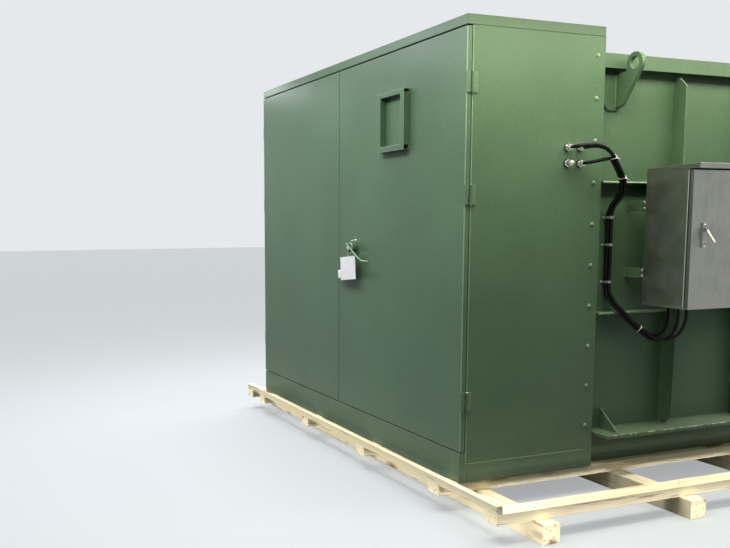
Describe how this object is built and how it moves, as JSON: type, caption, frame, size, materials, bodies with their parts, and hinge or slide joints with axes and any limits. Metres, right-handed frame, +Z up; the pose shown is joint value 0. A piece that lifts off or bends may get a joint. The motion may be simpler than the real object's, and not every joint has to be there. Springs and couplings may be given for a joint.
{
  "type": "pad-mounted power transformer",
  "caption": "Oil-filled transformer with a front terminal cabinet, ribbed tank with lifting lugs and jacking shelves, side control box and rear radiators, on a timber pallet.",
  "frame": {"origin": "on the floor under the middle of the pallet", "axes": "+Z up, doors facing -Y, control box on the +X side"},
  "size_m": [3.216, 2.977, 2.2856],
  "materials": {
    "sawn_pine": "rough-sawn pale softwood",
    "green_enamel": "semi-gloss green enamel over steel",
    "brushed_stainless": "dull rolled stainless sheet",
    "nickel_plate": "bright nickel plate",
    "black_conduit": "black flexible conduit sheath",
    "white_card": "blank white card"
  },
  "bodies": {
    "transformer": {"runner_1": "sawn_pine", "runner_2": "sawn_pine", "runner_3": "sawn_pine", "runner_4": "sawn_pine", "skid_beam_1": "sawn_pine", "skid_beam_2": "sawn_pine", "skid_beam_3": "sawn_pine", "skid_beam_4": "sawn_pine", "skid_beam_5": "sawn_pine", "skid_beam_6": "sawn_pine", "front_strip": "sawn_pine", "tank_floor": "green_enamel", "tank_wall_front": "green_enamel", "tank_wall_rear": "green_enamel", "tank_wall_left": "green_enamel", "tank_wall_right": "green_enamel", "tank_cover": "green_enamel", "lifting_lug_right_front": "green_enamel", "lifting_lug_right_rear": "green_enamel", "lifting_lug_left_front": "green_enamel", "lifting_lug_left_rear": "green_enamel", "jacking_shelf_right": "green_enamel", "jacking_shelf_left": "green_enamel", "radiator_right": "green_enamel", "radiator_left": "green_enamel", "cabinet_side_right": "green_enamel", "cabinet_side_left": "green_enamel", "cabinet_hood": "green_enamel", "cabinet_sill": "green_enamel", "control_box_bracket_lower": "green_enamel", "control_box_bracket_upper": "green_enamel", "control_box_shell": "brushed_stainless", "control_box_hinge_1": "brushed_stainless", "control_box_hinge_2": "brushed_stainless", "control_box_roof": "brushed_stainless", "conduit_clip_1": "brushed_stainless", "conduit_clip_2": "brushed_stainless", "conduit_clip_3": "brushed_stainless", "cable_gland_1": "nickel_plate", "cable_gland_2": "nickel_plate", "cable_gland_3": "nickel_plate", "cable_gland_4": "nickel_plate", "conduit_1": "black_conduit", "conduit_2": "black_conduit", "conduit_3": "black_conduit"},
    "door_right": {"door_right": "green_enamel", "plate_frame": "green_enamel", "door_tag": "white_card"},
    "door_handle": {"handle_hub": "nickel_plate", "handle_rod": "green_enamel"},
    "door_left": {"door_left": "green_enamel"},
    "control_box_door": {"control_box_door": "brushed_stainless"},
    "control_box_lever": {"control_box_lever": "brushed_stainless"}
  },
  "joints": [
    {"name": "door_right_hinge", "type": "hinge", "parent": "transformer", "child": "door_right", "pos_m": [1.109, -1.3555, 0.2836], "axis": [0, 0, 1], "range_deg": [0, 120]},
    {"name": "door_left_hinge", "type": "hinge", "parent": "transformer", "child": "door_left", "pos_m": [-1.459, -1.3555, 0.2836], "axis": [0, 0, -1], "range_deg": [0, 120]},
    {"name": "door_handle_turn", "type": "hinge", "parent": "door_right", "child": "door_handle", "pos_m": [0.016, -1.3835, 1.2236], "axis": [0, 1, 0], "range_deg": [0, 90]},
    {"name": "control_box_door_hinge", "type": "hinge", "parent": "transformer", "child": "control_box_door", "pos_m": [1.433, 0.123, 0.9526], "axis": [0, 0, 1], "range_deg": [0, 120]},
    {"name": "control_box_lever_turn", "type": "hinge", "parent": "control_box_door", "child": "control_box_lever", "pos_m": [1.4643, -0.3085, 1.3266], "axis": [1, 0, 0], "range_deg": [0, 90]}
  ]
}
